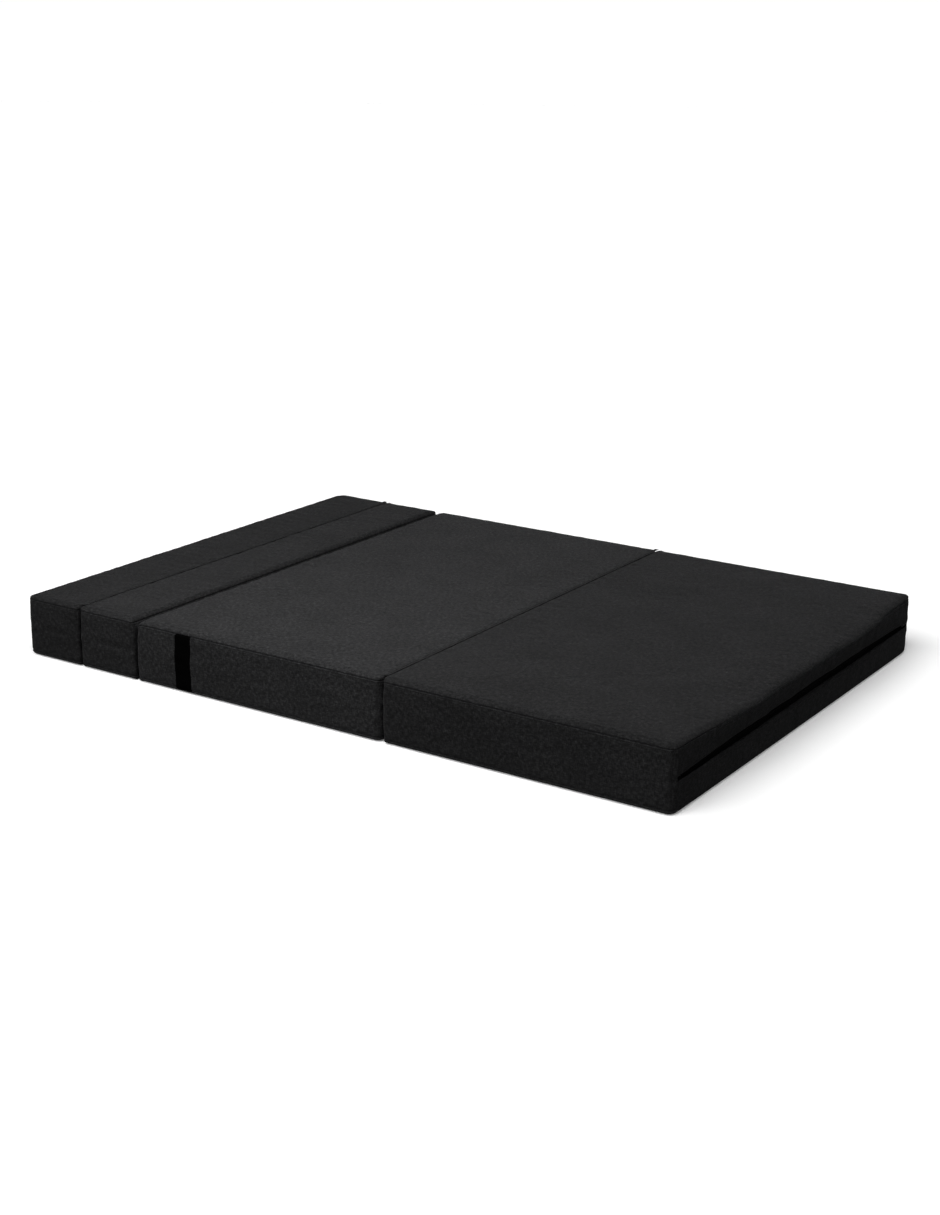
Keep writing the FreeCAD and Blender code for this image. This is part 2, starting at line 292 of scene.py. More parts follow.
def set_shader(material, values):
    """Uniform values on the material's own shader."""
    shader = material.node_tree.nodes["Principled BSDF"]
    for socket, value in values.items():
        shader.inputs[socket].default_value = value


def evaluated(obj):
    bpy.context.view_layer.update()
    return obj.evaluated_get(bpy.context.evaluated_depsgraph_get())


def apply_modifiers(obj):
    obj.data = bpy.data.meshes.new_from_object(evaluated(obj))
    obj.modifiers.clear()


def surface_tree(obj):
    """For the nearest place on an object's surface, or the first one along a ray."""
    polygons = [tuple(polygon.vertices) for polygon in obj.data.polygons]
    return BVHTree.FromPolygons(mesh_points(obj.data).tolist(), polygons)


# Camera, floor and light

def make_camera():
    yaw, pitch, roll = (math.radians(angle) for angle in CAMERA_ANGLES)
    level = math.cos(pitch)
    ahead = Vector((-math.sin(yaw) * level, math.cos(yaw) * level, -math.sin(pitch)))
    right = Vector((math.cos(yaw), math.sin(yaw), 0))
    up = right.cross(ahead)
    right, up = (
        right * math.cos(roll) + up * math.sin(roll),
        up * math.cos(roll) - right * math.sin(roll),
    )
    data = bpy.data.cameras.new("camera")
    data.sensor_width = CAMERA_SENSOR
    data.lens = CAMERA_LENS
    data.clip_end = 100
    camera = link(bpy.data.objects.new("camera", data))
    turn = Matrix((right, up, -ahead)).transposed()
    camera.matrix_world = Matrix.Translation(CAMERA_PLACE) @ turn.to_4x4()
    bpy.context.scene.camera = camera
    bpy.context.scene.view_settings.view_transform = "Standard"


def make_stage():
    """A pale floor, and a white wall far off all round it. Neither lights the object."""
    bpy.ops.mesh.primitive_plane_add(size=2.2 * BACKDROP_RADIUS)
    floor = bpy.context.object
    floor.name = "floor"
    floor.location.z = -FLOOR_DROP
    material = new_material("floor")
    set_shader(material, {
        "Base Color": (0.96, 0.96, 0.96, 1), "Roughness": 0.9, "Specular IOR Level": 0.1,
        "Emission Color": (1, 1, 1, 1), "Emission Strength": FLOOR_GLOW,
    })
    floor.data.materials.append(material)
    bpy.ops.mesh.primitive_cylinder_add(vertices=96, radius=BACKDROP_RADIUS, depth=BACKDROP_RADIUS)
    wall = bpy.context.object
    wall.name = "backdrop"
    material = new_material("backdrop")
    set_shader(material, {
        "Base Color": (0, 0, 0, 1), "Emission Color": (1, 1, 1, 1), "Emission Strength": 1.0,
    })
    wall.data.materials.append(material)
    for obj in (floor, wall):
        obj.visible_diffuse = False
        obj.visible_glossy = False
    wall.visible_shadow = False


def make_light():
    """A soft bright ceiling, a broad key above the front, two weaker suns, and a softbox."""
    world = bpy.data.worlds.new("studio")
    world.use_nodes = True
    nodes, links = world.node_tree.nodes, world.node_tree.links
    place = nodes.new("ShaderNodeTexCoord")
    parts = nodes.new("ShaderNodeSeparateXYZ")
    strength = []
    for axis, ramp in (("Z", CEILING), ("X", ACROSS)):
        node = nodes.new("ShaderNodeMapRange")
        for socket, value in zip(("From Min", "From Max", "To Min", "To Max"), ramp):
            node.inputs[socket].default_value = value
        links.new(parts.outputs[axis], node.inputs["Value"])
        strength.append(node.outputs["Result"])
    both = nodes.new("ShaderNodeMath")
    both.operation = "MULTIPLY"
    links.new(strength[0], both.inputs[0])
    links.new(strength[1], both.inputs[1])
    links.new(both.outputs[0], nodes["Background"].inputs["Strength"])
    links.new(place.outputs["Generated"], parts.inputs[0])
    nodes["Background"].inputs["Color"].default_value = (1, 1, 1, 1)
    bpy.context.scene.world = world
    for name, direction, power, angle in (
        ("key", KEY_DIRECTION, KEY_STRENGTH, SUN_ANGLE),
        ("fill", FILL_DIRECTION, FILL_STRENGTH, FILL_ANGLE),
        ("side", SIDE_DIRECTION, SIDE_STRENGTH, SUN_ANGLE),
    ):
        data = bpy.data.lights.new(name, "SUN")
        data.energy = power
        data.angle = angle
        sun = link(bpy.data.objects.new(name, data))
        sun.rotation_euler = Vector(direction).to_track_quat("Z", "Y").to_euler()
        sun.visible_glossy = name != "fill"
    data = bpy.data.lights.new("softbox", "AREA")
    data.size = SOFTBOX_SIZE
    data.energy = SOFTBOX_POWER
    link(bpy.data.objects.new("softbox", data)).location = SOFTBOX_PLACE


# Materials

class Nodes:
    """Adds shader nodes to a material and links them, so that a formula stays one line."""

    def __init__(self, material):
        self.tree = material.node_tree
        self.shader = self.tree.nodes["Principled BSDF"]

    def add(self, kind, **settings):
        node = self.tree.nodes.new(kind)
        for name, value in settings.items():
            setattr(node, name, value)
        return node

    def feed(self, socket, value):
        if isinstance(value, (int, float, tuple)):
            socket.default_value = value
        else:
            self.tree.links.new(value, socket)

    def math(self, operation, *values):
        node = self.add("ShaderNodeMath", operation=operation)
        for socket, value in zip(node.inputs, values):
            self.feed(socket, value)
        return node.outputs[0]

    def noise(self, u, v, scale_u, scale_v, detail=2.0, roughness=0.5):
        """Noise of a place on the cloth, with its own scale along each direction, per metre."""
        place = self.add("ShaderNodeCombineXYZ")
        self.feed(place.inputs["X"], self.math("MULTIPLY", u, scale_u))
        self.feed(place.inputs["Y"], self.math("MULTIPLY", v, scale_v))
        node = self.add("ShaderNodeTexNoise", noise_dimensions="2D")
        self.feed(node.inputs["Vector"], place.outputs[0])
        node.inputs["Scale"].default_value = 1.0
        node.inputs["Detail"].default_value = detail
        node.inputs["Roughness"].default_value = roughness
        return node.outputs[0]

    def ramp(self, value, *stops):
        node = self.add("ShaderNodeValToRGB")
        elements = node.color_ramp.elements
        while len(elements) < len(stops):
            elements.new(0.5)
        for element, (place, grey) in zip(elements, stops):
            element.position = place
            element.color = (grey, grey, grey * 1.03, 1)
        self.feed(node.inputs["Fac"], value)
        return node.outputs["Color"]

    def cloth_place(self):
        uv = self.add("ShaderNodeUVMap", uv_map="cloth")
        parts = self.add("ShaderNodeSeparateXYZ")
        self.feed(parts.inputs[0], uv.outputs[0])
        return parts.outputs["X"], parts.outputs["Y"]

    def bump(self, height, distance, strength=1.0):
        node = self.add("ShaderNodeBump")
        node.inputs["Distance"].default_value = distance
        node.inputs["Strength"].default_value = strength
        self.feed(node.inputs["Height"], height)
        self.feed(self.shader.inputs["Normal"], node.outputs[0])


def woven_height(nodes, u, v, pitch_u, pitch_v):
    """Plain weave: rounded yarns that pass over and under each other."""
    across = nodes.math("SINE", nodes.math("MULTIPLY", u, math.pi / pitch_u))
    along = nodes.math("SINE", nodes.math("MULTIPLY", v, math.pi / pitch_v))
    return nodes.math("MULTIPLY", across, along)


def cover_fabric(name, shade):
    """Linen-like black cloth with grey slubs in both yarn directions; shade scales its greys as
    painted light, lighter or darker for each cover.
    """
    material = new_material(name + "_fabric")
    nodes = Nodes(material)
    u, v = nodes.cloth_place()
    warp = nodes.noise(u, v, 560, 95, detail=3.0, roughness=0.65)
    weft = nodes.noise(u, v, 80, 480, detail=3.0, roughness=0.65)
    fleck = nodes.noise(u, v, 110, 105, detail=4.0, roughness=0.7)
    cloud = nodes.noise(u, v, 7, 8, detail=2.0, roughness=0.5)
    yarns = nodes.math("MULTIPLY", nodes.math("ADD", warp, weft), YARN_WEIGHT)
    tone = nodes.math("ADD", yarns, nodes.math("MULTIPLY", fleck, FLECK_WEIGHT))
    tone = nodes.math("ADD", tone, nodes.math("MULTIPLY", cloud, CLOUD_WEIGHT))
    # The greys are scaled by the cover's painted light, which gives lighter and darker copies of
    # one cloth.
    colour = nodes.ramp(tone, *[(place, shade * grey) for place, grey in FABRIC_GREYS])
    nodes.feed(nodes.shader.inputs["Base Color"], colour)
    weave = nodes.math("MULTIPLY", woven_height(nodes, u, v, *WEAVE_PITCH), 0.35)
    height = nodes.math("ADD", weave, nodes.math("MULTIPLY", yarns, 1.4))
    nodes.bump(height, 0.35 * MM, 0.8)
    set_shader(material, {
        "Roughness": 0.92, "Specular IOR Level": 0.06, "Sheen Weight": 0.05,
        "Sheen Roughness": 0.45, "Sheen Tint": (0.55, 0.55, 0.57, 1),
    })
    return material


def thread():
    material = new_material("thread")
    nodes = Nodes(material)
    place = nodes.add("ShaderNodeTexCoord").outputs["Object"]
    node = nodes.add("ShaderNodeTexNoise")
    nodes.feed(node.inputs["Vector"], place)
    node.inputs["Scale"].default_value = 900
    colour = nodes.ramp(node.outputs[0], (0.35, 0.006), (0.65, 0.022))
    nodes.feed(nodes.shader.inputs["Base Color"], colour)
    set_shader(material, {"Roughness": 0.6, "Specular IOR Level": 0.15})
    return material


def ridges(nodes, place, pitch):
    """Rounded ribs, one for each pitch."""
    wave = nodes.math("SINE", nodes.math("MULTIPLY", place, math.pi / pitch))
    return nodes.math("ABSOLUTE", wave)


def webbing():
    """Black polypropylene webbing: ribs along it, crossed by a tight chevron of yarns."""
    material = new_material("webbing")
    nodes = Nodes(material)
    u, v = nodes.cloth_place()
    rib = ridges(nodes, u, RIB_PITCH)
    fold = nodes.math("PINGPONG", u, RIB_PITCH)
    slant = nodes.math("ADD", nodes.math("MULTIPLY", fold, 0.9), v)
    yarn = ridges(nodes, slant, CHEVRON_PITCH)
    height = nodes.math("ADD", nodes.math("MULTIPLY", rib, 0.6), nodes.math("MULTIPLY", yarn, 0.5))
    nodes.feed(nodes.shader.inputs["Base Color"], nodes.ramp(height, (0.1, 0.0001), (1.0, 0.0009)))
    nodes.bump(height, 0.4 * MM, 0.9)
    set_shader(material, {"Roughness": 0.7, "Specular IOR Level": 0.01})
    return material


def grained(name, dark, light, scale, roughness, gloss, metallic=0.0):
    """Nylon or metal for the zips: fine grain in colour, roughness and relief."""
    material = new_material(name)
    nodes = Nodes(material)
    node = nodes.add("ShaderNodeTexNoise")
    nodes.feed(node.inputs["Vector"], nodes.add("ShaderNodeTexCoord").outputs["Object"])
    node.inputs["Scale"].default_value = scale
    node.inputs["Detail"].default_value = 3.0
    colour = nodes.ramp(node.outputs[0], (0.35, dark), (0.65, light))
    nodes.feed(nodes.shader.inputs["Base Color"], colour)
    rough = nodes.math("ADD", nodes.math("MULTIPLY", node.outputs[0], 0.2), roughness - 0.1)
    nodes.feed(nodes.shader.inputs["Roughness"], rough)
    set_shader(material, {"Metallic": metallic, "Specular IOR Level": gloss})
    nodes.bump(node.outputs[0], 0.1 * MM, 0.5)
    return material


# Cushions: a lattice on the surface of a box, rounded, swollen as cloth and sewn

class Lattice:
    """Lines along x, y and z on the six faces of a box, with one vertex where they cross."""

    def __init__(self, xs, ys, zs):
        self.lines = [np.asarray(a) for a in (xs, ys, zs)]
        shape = [len(a) for a in self.lines]
        grid = np.indices(shape)
        outside = np.zeros(shape, bool)
        for axis, count in enumerate(shape):
            outside |= (grid[axis] == 0) | (grid[axis] == count - 1)
        self.index = np.full(shape, -1)
        self.index[outside] = np.arange(outside.sum())
        self.cells = np.argwhere(outside)
        self.points = np.stack([self.lines[a][self.cells[:, a]] for a in range(3)], 1)

    def faces(self):
        """(quads, the two axes that a face's cloth runs along) for each face of the box."""
        n = self.index
        sides = (
            (n[0].T, (1, 2)), (n[-1], (1, 2)),
            (n[:, 0], (0, 2)), (n[:, -1].T, (0, 2)),
            (n[:, :, 0].T, (0, 1)), (n[:, :, -1], (0, 1)),
        )
        for grid, axes in sides:
            corners = grid[:-1, :-1], grid[1:, :-1], grid[1:, 1:], grid[:-1, 1:]
            yield np.stack([c.ravel() for c in corners], 1), axes

    def mesh(self, name, points, cushion):
        """A mesh of the lattice whose UVs are places on the cloth, in metres: see cloth_places."""
        quads = np.concatenate([face for face, _ in self.faces()])
        axes = np.concatenate([np.full((len(face), 2), axes) for face, axes in self.faces()])
        mesh = bpy.data.meshes.new(name)
        mesh.from_pydata(points.tolist(), [], quads.tolist())
        uv = mesh.uv_layers.new(name="cloth")
        uv.data.foreach_set("uv", cloth_places(self.points[quads], axes, cushion).ravel())
        shade_smooth(mesh)
        return mesh

    def ring(self, level):
        """The vertices once round the box's sides on the z line nearest to level, in order."""
        k = int(np.abs(self.lines[2] - level).argmin())
        i, j = self.index.shape[0] - 1, self.index.shape[1] - 1
        n = self.index[:, :, k]
        return np.concatenate([n[:i, 0], n[i, :j], n[i:0:-1, j], n[0, j:0:-1]])


def cloth_places(corners, axes, cushion):
    """Where each quad's corners lie on the flat cloth that they are cut from.

    The top panel turns down over the top's edges as far as the boxing seam, and below that one long
    strip runs round the sides. The bottom is a panel of its own.
    """
    low, high = cushion.low, cushion.high
    x, y, z = np.moveaxis(corners, 2, 0)
    centre = corners.mean(1)
    drop = high[2] - z
    flat = np.stack([x, y], 2)
    side_x = (axes[:, 0] == 1)[:, None]
    side_y = ((axes[:, 0] == 0) & (axes[:, 1] == 2))[:, None]
    right = (centre[:, 0] > (low[0] + high[0]) / 2)[:, None]
    back = (centre[:, 1] > (low[1] + high[1]) / 2)[:, None]

    turned = flat.copy()
    turned[..., 0] += side_x * np.where(right, drop, -drop)
    turned[..., 1] += side_y * np.where(back, drop, -drop)

    length, width = high[:2] - low[:2]
    trip = np.where(side_y, np.where(back, 2 * length + width - (x - low[0]), x - low[0]), 0)
    trip = np.where(side_x, np.where(right, length + y - low[1], low[1] - y), trip)
    strip = np.stack([trip, z + 3.0], 2)
    boxing = (side_x | side_y) & (centre[:, 2] < cushion.seam)[:, None]
    return np.where(boxing[..., None], strip, turned)


def axis_lines(low, high, round_low, round_high, step, extra=()):
    """Places of a lattice's lines: close together on rounded edges, and at every extra place."""
    inner_low = low + round_low
    inner_high = high - round_high
    even = np.linspace(inner_low, inner_high, max(2, round((inner_high - inner_low) / step) + 1))
    extra = np.asarray(sorted(extra))
    if len(extra):
        apart = np.abs(even[:, None] - extra).min(1)
        even = even[(apart > 0.4 * step) | (even == inner_low) | (even == inner_high)]
    steps = np.tan(EDGE_ANGLES)
    ends = inner_low - round_low * steps, inner_high + round_high * steps
    lines = np.unique(np.round(np.concatenate([*ends, even, extra]), 6))
    return lines[np.concatenate([[True], np.diff(lines) > 0.2 * MM])]


class Cushion:
    """What one section's cover looks like: its box, how soft each edge is, and where its zip is.

    round_low and round_high are the rounds of its -X and +X edges, and corners says how tight its
    upright corners are on each of those sides. hinged lists the edges on a fold as (side, level),
    -1 or 1 each, and touching the sides with a neighbour. spill is how far the top hangs out over
    the zip.
    """

    def __init__(
        self, name, seed, round_low, round_high, corners, hinged, zip_side, touching, spill=0
    ):
        self.name = name
        self.seed = seed
        self.corners = corners
        self.hinged = hinged
        self.touching = touching
        self.spill = spill
        self.gaping = [side for side, level in hinged if level < 0]
        top_low, top_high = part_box(name + "_top_panel")
        bottom_low, bottom_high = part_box(name + "_bottom_panel")
        self.low = np.array([top_low.x, top_low.y, bottom_low.z])
        self.high = np.array([top_high.x, top_high.y, top_high.z - TOP_DROP])
        self.crown_level = top_high.z + FOLD_LEVEL
        self.seam = top_low.z
        self.bottom_seam = bottom_high.z
        self.round_low = np.array([round_low, FRONT_ROUND, BOTTOM_ROUND])
        self.round_high = np.array([round_high, BACK_ROUND, TOP_ROUND])
        self.zip_axis, self.zip_sign = {"left": (0, -1), "right": (0, 1), "back": (1, 1)}[zip_side]
        coil_low, coil_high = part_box(name + "_zip_coil")
        self.zip_level = (coil_low.z + coil_high.z) / 2
        tape_low, tape_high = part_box(name + "_zip_tapes")
        along = 1 - self.zip_axis
        self.slot = tape_low[along] + TAPE_TAIL, tape_high[along] - TAPE_TAIL

    def lattice(self, step, extra=((), (), ())):
        ends = zip(self.low, self.high, self.round_low, self.round_high)
        return Lattice(*[axis_lines(*end, step, lines) for end, lines in zip(ends, extra)])

    def cage_lattice(self):
        """Lines close together at the seams, the stitching and the zip's slot."""
        extra = [[], [], [self.zip_level]]
        for level, half in (
            (self.seam, GROOVE_HALF),
            (self.seam - TOPSTITCH_DROP, TOPSTITCH_HALF),
            (self.bottom_seam, GROOVE_HALF),
        ):
            extra[2] += [level - half, level, level + half]
        for height, _, _ in SLOT_PROFILE + ((SLOT_SURROUND, 0, 0),):
            extra[2] += [self.zip_level - height, self.zip_level + height]
        for end, inward in zip(self.slot, (1, -1)):
            steps = (-SLOT_TAPER / 2, 0, SLOT_TAPER / 2, SLOT_TAPER, 2.5 * SLOT_TAPER)
            extra[1 - self.zip_axis] += [end + inward * s for s in steps]
        return self.lattice(MESH_STEP, extra)

    def along_slot(self, lattice):
        """Each point's place along the zip, and its share of the way from one end of the slot."""
        place = lattice.points[:, 1 - self.zip_axis]
        return place, (place - self.slot[0]) / (self.slot[1] - self.slot[0])

    def on_zip_face(self, lattice):
        last = lattice.index.shape[self.zip_axis] - 1
        return lattice.cells[:, self.zip_axis] == (0 if self.zip_sign < 0 else last)

    def rounding(self, points):
        """Where each point of the box goes when its edges are rounded, and the way out there."""
        middle = np.clip(points, self.low + self.round_low, self.high - self.round_high)
        reach = np.where(points < middle, self.round_low, self.round_high)
        d = (points - middle) / reach
        edge = np.full(len(points), SOFT_EDGE)
        for side, level in self.hinged:
            edge[(np.sign(d[:, 0]) == side) & (np.sign(d[:, 2]) == level)] = HINGED_EDGE
        across = (np.abs(d[:, 0]) ** edge + np.abs(d[:, 2]) ** edge) ** (1 / edge)
        tight = np.where(d[:, 0] < 0, self.corners[0], self.corners[1]) - SOFT_EDGE
        corner = SOFT_EDGE + tight * smoothstep(np.abs(d[:, 0]))
        size = (across**corner + np.abs(d[:, 1]) ** corner) ** (1 / corner)
        out = d / np.linalg.norm(d, axis=1)[:, None]
        return middle + reach * d / size[:, None], out

    def round_trip(self, points):
        """Distance round the sides of the nearest place on them, and how far off that is."""
        x, y = points[:, 0] - self.low[0], points[:, 1] - self.low[1]
        length, width = self.high[:2] - self.low[:2]
        away = np.stack([y, length - x, width - y, x])
        trip = np.stack([x, length + y, 2 * length + width - x, 2 * (length + width) - y])
        nearest = away.argmin(0)
        pick = nearest, np.arange(len(x))
        return trip[pick], away[pick]

    def relief(self, lattice, out):
        """Height of the cover over its rounded box: crown, soft waves, puckers and seam grooves."""
        x, y, z = lattice.points.T
        trip, inward = self.round_trip(lattice.points)
        upward = np.clip(out[:, 2], 0, 1) ** 2
        sideways = 1 - out[:, 2] ** 2
        crown = CROWN_SHARE * (self.crown_level - self.high[2])
        crown = crown * smoothstep(inward / CROWN_REACH) ** CROWN_POWER
        rise = upward * (crown + TOP_WAVES * dapple(self.seed, *TOP_WAVE_LENGTHS)(x, y))
        middle = np.clip((z - self.bottom_seam) / (self.seam - self.bottom_seam), 0, 1)
        belly = np.sin(math.pi * middle)
        waves = SIDE_WAVES * dapple(self.seed + 1, *SIDE_WAVE_LENGTHS)(trip, z)
        rise += sideways * (SIDE_BELLY * belly + waves * belly**0.5)

        above = np.where(z >= self.seam, inward + (z - self.seam), 0)
        fade = np.exp(-(np.clip(self.seam - z, 0, None) + above) / PUCKER_REACH)
        depth = np.where(self.on_zip_face(lattice), ZIP_PUCKERS, PUCKERS)
        depth = depth * np.where(z > self.seam, TOP_PUCKERS, 1)
        rise += depth * fade * ripple(self.seed + 2, *PUCKER_LENGTHS)(trip)
        fade = np.exp(-np.abs(z - self.bottom_seam) / PUCKER_REACH)
        puckers = ripple(self.seed + 3, *BOTTOM_PUCKER_LENGTHS)(trip)
        rise += BOTTOM_PUCKERS * fade * puckers * sideways

        for level, half, groove in (
            (self.seam, GROOVE_HALF, GROOVE_DEPTH),
            (self.seam - TOPSTITCH_DROP, TOPSTITCH_HALF, TOPSTITCH_DEPTH),
            (self.bottom_seam, GROOVE_HALF, GROOVE_DEPTH * BOTTOM_GROOVE),
        ):
            rise -= groove * np.clip(1 - np.abs(z - level) / half, 0, 1) * (inward < 1 * MM)
        return rise + self.zip_bulge(lattice)

    def zip_bulge(self, lattice):
        """The upper zip panel hangs out over the slot, and the seams at its two ends pull in."""
        z = lattice.points[:, 2]
        place, share = self.along_slot(lattice)
        length = np.sin(math.pi * np.clip(share, 0, 1)) ** 0.5
        low_lip = self.zip_level - LIP
        lip = self.zip_level + LIP
        up = np.clip((z - lip) / (self.seam - lip), 0, 1)
        down = np.clip((low_lip - z) / (low_lip - self.bottom_seam), 0, 1)
        upper = UPPER_PEAK * (1 - up) ** UPPER_FALL * (1 - np.exp(-up / UPPER_START))
        upper = (upper - UPPER_TUCK * np.exp(-up / TUCK_FADE)) * (z > self.zip_level)
        lower = np.sin(math.pi * down) + LOWER_SLOPE * down - LOWER_TUCK
        lower = lower * (z < self.zip_level) * (down > 0)
        waves = 1 + BULGE_UNEVEN * ripple(self.seed + 4, *BULGE_LENGTHS)(place)
        bulge = (UPPER_BULGE * upper * waves + LOWER_BULGE * lower) * length
        along = 1 - self.zip_axis
        ends = np.abs(place - np.where(share < 0.5, self.low[along], self.high[along]))
        corner = (ends < 0.1 * MM) & (z < self.seam) & (z > self.bottom_seam)
        return self.on_zip_face(lattice) * (bulge - CORNER_SEAM_DEPTH * corner)

    def in_slot(self, lattice):
        """Points on the channel behind the slot's lips, where the cover takes the zip tapes'
        near-black material; on the lips' turned-in edges this is painted shade.
        """
        place, _ = self.along_slot(lattice)
        behind = np.abs(lattice.points[:, 2] - self.zip_level) < CHANNEL_LINE + 0.1 * MM
        inside = (place >= self.slot[0]) & (place <= self.slot[1])
        return self.on_zip_face(lattice) & behind & inside

    def slotted(self, lattice, points):
        """Parts the two zip panels along the slot and turns their edges in to a channel."""
        place, share = self.along_slot(lattice)
        level = lattice.points[:, 2] - self.zip_level
        start, end = self.slot
        middle = np.sin(math.pi * np.clip(share, 0, 1)) ** SLOT_FULLNESS
        half = SLOT_HALF_ENDS + (SLOT_HALF_MIDDLE - SLOT_HALF_ENDS) * middle
        uneven = ripple(self.seed + 5, *SLOT_UNEVEN_LENGTHS)(place)
        half = half * (1 + SLOT_UNEVEN * uneven * middle)
        opened = smoothstep((place - start) / SLOT_TAPER) * smoothstep((end - place) / SLOT_TAPER)
        opened = opened * self.on_zip_face(lattice) * (np.abs(level) < SLOT_SURROUND - 0.1 * MM)

        heights, depths = [np.zeros(len(place))], [np.ones(len(place))]
        for _, past, depth in SLOT_PROFILE:
            heights.append(np.maximum(half, CHANNEL_HALF) if past is None else half + past)
            depths.append(np.full(len(place), depth))
        lines = [0] + [row[0] for row in SLOT_PROFILE]
        nearest = np.abs(np.abs(level)[:, None] - lines).argmin(1)
        pick = nearest, np.arange(len(place))
        height = np.sign(level) * np.stack(heights)[pick]
        depth = CHANNEL_DEPTH * np.stack(depths)[pick]
        sway = SLOT_SWAY * ripple(self.seed + 6, *SLOT_SWAY_LENGTHS)(place) * middle
        fade = 1 - smoothstep(np.abs(level) / SWAY_REACH)
        points[:, 2] += opened * (height - level) + sway * fade * self.on_zip_face(lattice)
        points[:, self.zip_axis] -= self.zip_sign * opened * depth
        return points

    def spilling(self, lattice, points):
        """The top's edge over the zip sags outwards along its middle, with the panel below it."""
        place, share = self.along_slot(lattice)
        length = smoothstep(np.clip(share, 0, 1) / SPILL_RAMP)
        length = length * smoothstep(np.clip(1 - share, 0, 1) / SPILL_RAMP)
        length = length * (1 + SPILL_UNEVEN * ripple(self.seed + 7, *SPILL_LENGTHS)(place))
        edge = (self.low if self.zip_sign < 0 else self.high)[self.zip_axis]
        near = smoothstep(1 - np.abs(lattice.points[:, self.zip_axis] - edge) / SPILL_REACH)
        lip = self.zip_level + LIP
        height = smoothstep((lattice.points[:, 2] - lip) / (self.seam - lip))
        spill = self.spill * length * near * height
        points[:, self.zip_axis] += self.zip_sign * spill
        points[:, 2] -= SPILL_DROP * spill * (lattice.points[:, 2] >= self.seam)
        return points

    def sewn(self, lattice, swelling):
        """The finished cover's cage."""
        points, out = self.rounding(lattice.points)
        points = points + out * (self.relief(lattice, out) + swelling)[:, None]
        points = self.slotted(lattice, points)
        if self.spill:
            points = self.spilling(lattice, points)
        points[:, 2] = np.clip(points[:, 2], self.low[2], self.crown_level)
        tall = self.high[2] - self.low[2]
        lean = GAPE * ((points[:, 2] - self.low[2]) / tall) ** GAPE_POWER
        for side in self.gaping:
            joint = (self.low if side < 0 else self.high)[0]
            near = smoothstep(1 - np.abs(points[:, 0] - joint) / GAPE_REACH)
            points[:, 0] -= side * lean * near
            if side < 0:
                over_zip = self.high[2] - self.zip_level
                top = smoothstep((lattice.points[:, 2] - self.zip_level) / over_zip)
                slope = np.clip(1 - (points[:, 0] - self.low[0]) / SHOULDER_REACH, 0, 1) ** 2
                points[:, 2] -= SHOULDER * top * slope
        for side in self.touching:
            if side < 0:
                points[:, 0] = np.maximum(points[:, 0], self.low[0] - JOINT_SWELL)
            else:
                points[:, 0] = np.minimum(points[:, 0], self.high[0] + JOINT_SWELL)
        return points


# Cloth simulation: each cover is a loose skin that the foam holds softly

class Swelling:
    """How far the simulated cover stands off its rounded box, on a coarser lattice of its own."""

    def __init__(self, cushion):
        self.lattice = cushion.lattice(CLOTH_STEP)
        self.base, self.out = cushion.rounding(self.lattice.points)
        self.rise = np.zeros(len(self.base))
        self.cloth = None
        self.start(cushion)

    def start(self, cushion):
        mesh = self.lattice.mesh(cushion.name + "_cloth", self.base, cushion)
        self.cloth = link(bpy.data.objects.new(mesh.name, mesh))
        hold = self.cloth.vertex_groups.new(name="hold")
        z = self.lattice.points[:, 2]
        sewn = (np.abs(z - cushion.seam) < 0.6 * CLOTH_STEP) & (np.abs(self.out[:, 2]) < 0.9)
        sewn |= z < cushion.bottom_seam + 2 * MM
        hold.add(np.flatnonzero(sewn).tolist(), 1.0, "REPLACE")
        hold.add(np.flatnonzero(~sewn).tolist(), FOAM_HOLD, "REPLACE")
        modifier = self.cloth.modifiers.new("cloth", "CLOTH")
        modifier.point_cache.frame_start = 1
        modifier.point_cache.frame_end = CLOTH_FRAMES
        settings = modifier.settings
        settings.quality = 5
        settings.mass = 0.3
        settings.effector_weights.gravity = 0
        settings.use_pressure = True
        settings.uniform_pressure_force = CLOTH_PRESSURE
        settings.shrink_min = -CLOTH_SLACK
        settings.vertex_group_mass = "hold"
        settings.pin_stiffness = 1.0
        settings.bending_stiffness = 0.6
        modifier.collision_settings.use_collision = False

    def finish(self):
        if self.cloth:
            moved = mesh_points(evaluated(self.cloth).data) - self.base
            self.rise = CLOTH_CAP * np.tanh((moved * self.out).sum(1) / CLOTH_CAP)
            mesh = self.cloth.data
            bpy.data.objects.remove(self.cloth)
            bpy.data.meshes.remove(mesh)

    def at(self, lattice):
        """The same height at the crossings of another lattice on the same box."""
        found = np.zeros(len(lattice.points))
        for axis in range(3):
            others = [a for a in range(3) if a != axis]
            for end in (0, -1):
                last = lattice.index.shape[axis] - 1
                face = lattice.cells[:, axis] == (last if end else 0)
                rise = self.rise[np.take(self.lattice.index, end, axis)]
                corners = []
                for other in others:
                    lines = self.lattice.lines[other]
                    place = np.interp(lattice.points[face, other], lines, np.arange(len(lines)))
                    first = np.clip(place.astype(int), 0, len(lines) - 2)
                    corners.append((first, place - first))
                (i, a), (j, b) = corners
                found[face] = (
                    rise[i, j] * (1 - a) * (1 - b) + rise[i + 1, j] * a * (1 - b)
                    + rise[i, j + 1] * (1 - a) * b + rise[i + 1, j + 1] * a * b
                )
        return found


def simulate(cushions):
    swellings = [Swelling(cushion) for cushion in cushions]
    for number in range(1, CLOTH_FRAMES + 1):
        bpy.context.scene.frame_set(number)
    for swelling in swellings:
        swelling.finish()
    bpy.context.scene.frame_set(1)
    return swellings


